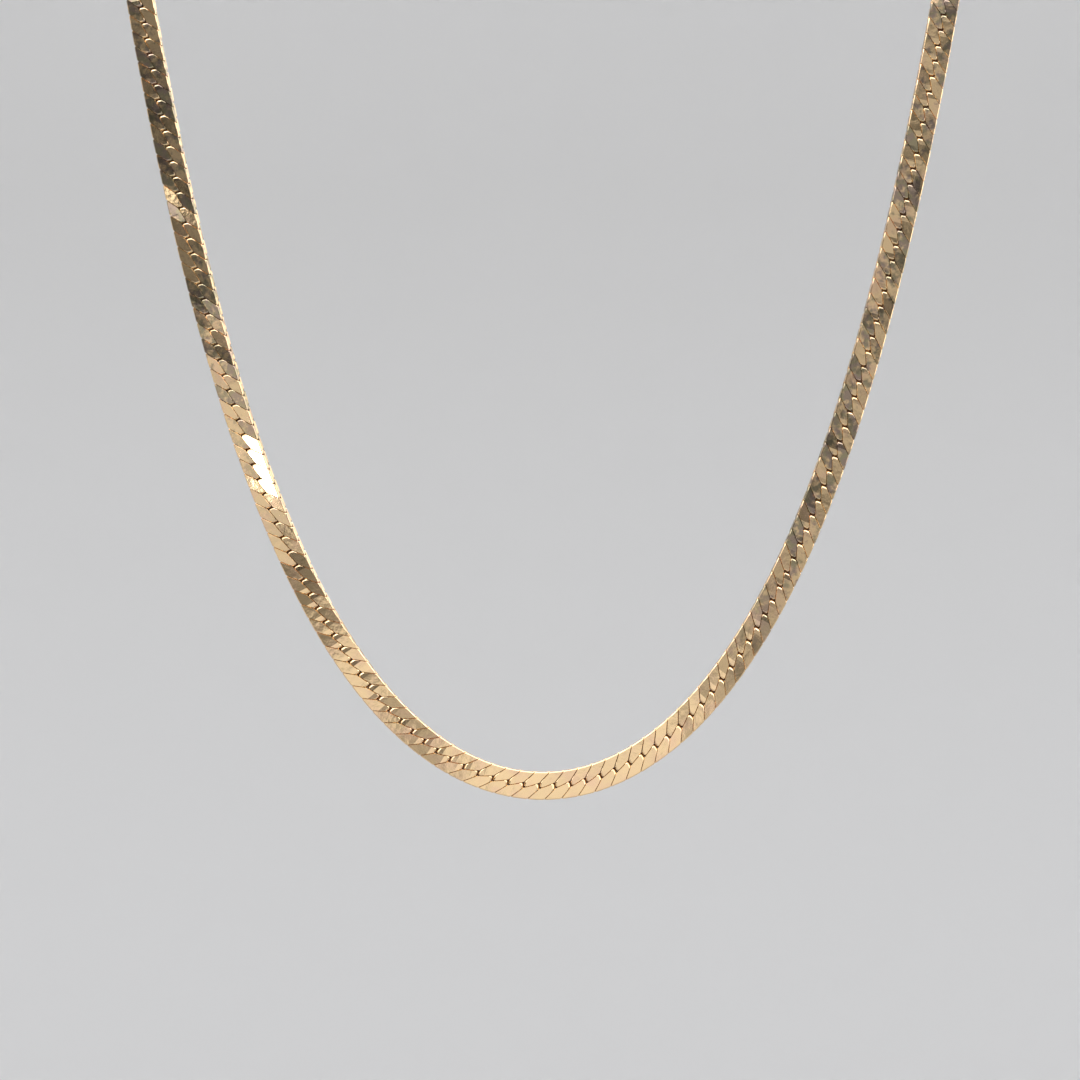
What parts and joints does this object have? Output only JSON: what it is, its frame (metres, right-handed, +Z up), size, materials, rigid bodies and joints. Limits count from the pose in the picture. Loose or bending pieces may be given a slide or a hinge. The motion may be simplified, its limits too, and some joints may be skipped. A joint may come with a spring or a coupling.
{
  "type": "herringbone chain necklace",
  "caption": "Flat herringbone chain worn round the neck, made of flattened curb links that interlock in rows of slanting leaves, closed at the nape by a plain flat clasp",
  "frame": {"origin": "middle of the clasp's inner face, which lies on the nape", "axes": "+Z up as worn, +X to the right seen from the front, -Y to the front of the neck; the low U of the chain lies in a vertical plane across Y"},
  "size_m": [0.1222, 0.0687, 0.1655],
  "materials": {
    "chain_gold": "polished gold, with fine scratches",
    "clasp_gold": "polished gold"
  },
  "bodies": {
    "root": {"chain_left": "chain_gold", "chain_right": "chain_gold", "clasp": "clasp_gold"}
  },
  "joints": []
}
